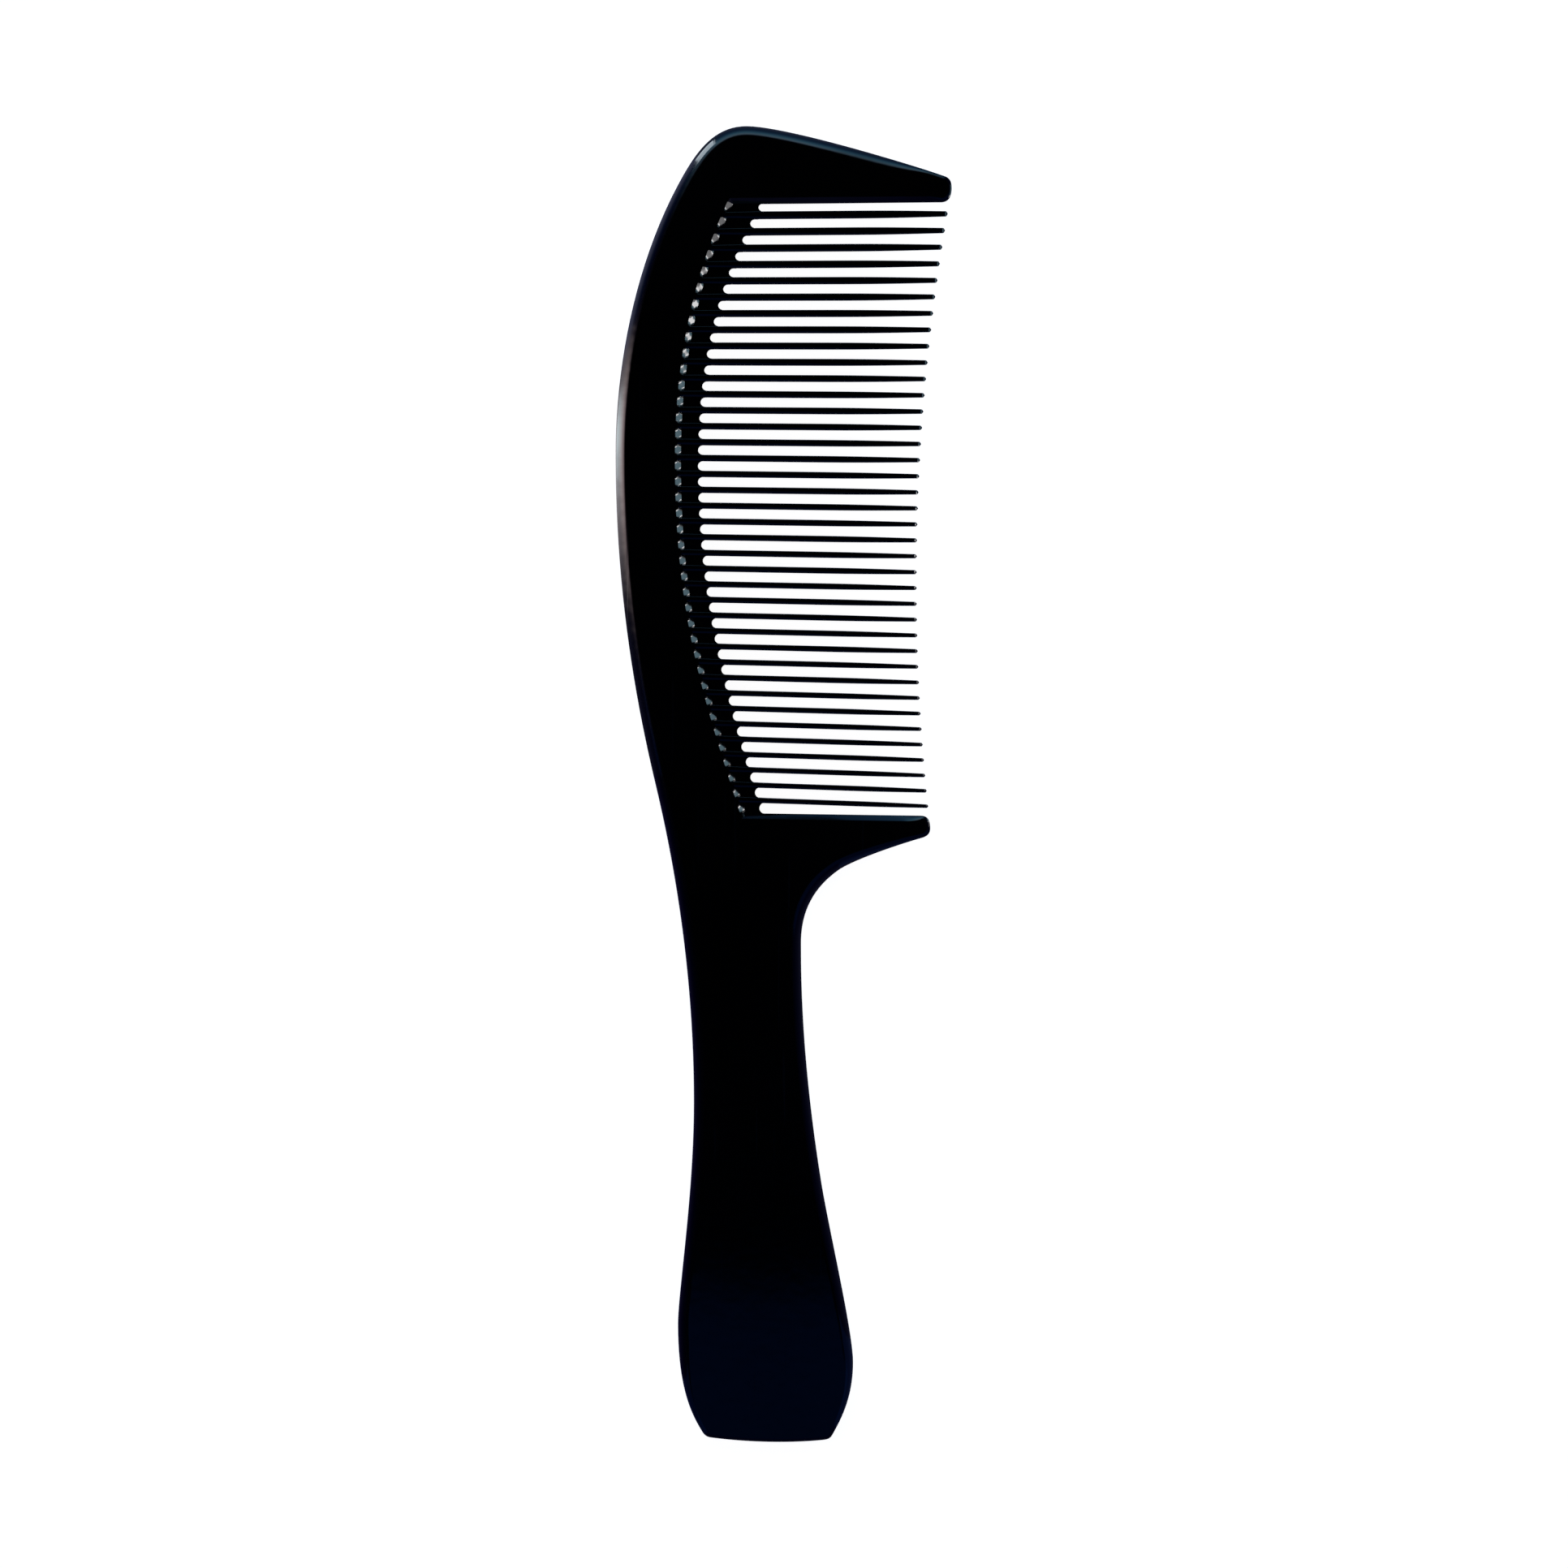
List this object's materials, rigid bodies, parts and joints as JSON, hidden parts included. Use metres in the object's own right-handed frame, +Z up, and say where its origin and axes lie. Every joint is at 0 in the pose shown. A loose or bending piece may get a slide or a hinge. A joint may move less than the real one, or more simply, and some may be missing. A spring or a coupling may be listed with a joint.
{
  "type": "wide tooth comb",
  "caption": "Flat handled styling comb moulded in one piece: waisted handle, bowed back, two thick end guards and a row of evenly spaced tapered teeth on a recessed ribbed web.",
  "frame": {"origin": "middle of the comb's plan, on the underside it lies on", "axes": "+X towards the tooth tips, +Y along the comb from the handle's end to the head, +Z up out of the flat face"},
  "size_m": [0.0549, 0.2148, 0.0048],
  "materials": {
    "comb_plastic": "gloss black, moulded, lightly hand-worn"
  },
  "bodies": {
    "root": {"handle": "comb_plastic", "handle_end": "comb_plastic", "back": "comb_plastic", "top_guard": "comb_plastic", "lower_guard": "comb_plastic", "root_web": "comb_plastic", "tooth_01": "comb_plastic", "tooth_02": "comb_plastic", "tooth_03": "comb_plastic", "tooth_04": "comb_plastic", "tooth_05": "comb_plastic", "tooth_06": "comb_plastic", "tooth_07": "comb_plastic", "tooth_08": "comb_plastic", "tooth_09": "comb_plastic", "tooth_10": "comb_plastic", "tooth_11": "comb_plastic", "tooth_12": "comb_plastic", "tooth_13": "comb_plastic", "tooth_14": "comb_plastic", "tooth_15": "comb_plastic", "tooth_16": "comb_plastic", "tooth_17": "comb_plastic", "tooth_18": "comb_plastic", "tooth_19": "comb_plastic", "tooth_20": "comb_plastic", "tooth_21": "comb_plastic", "tooth_22": "comb_plastic", "tooth_23": "comb_plastic", "tooth_24": "comb_plastic", "tooth_25": "comb_plastic", "tooth_26": "comb_plastic", "tooth_27": "comb_plastic", "tooth_28": "comb_plastic", "tooth_29": "comb_plastic", "tooth_30": "comb_plastic", "tooth_31": "comb_plastic", "tooth_32": "comb_plastic", "tooth_33": "comb_plastic", "tooth_34": "comb_plastic", "tooth_35": "comb_plastic", "tooth_36": "comb_plastic", "tooth_37": "comb_plastic", "tooth_38": "comb_plastic"}
  },
  "joints": []
}
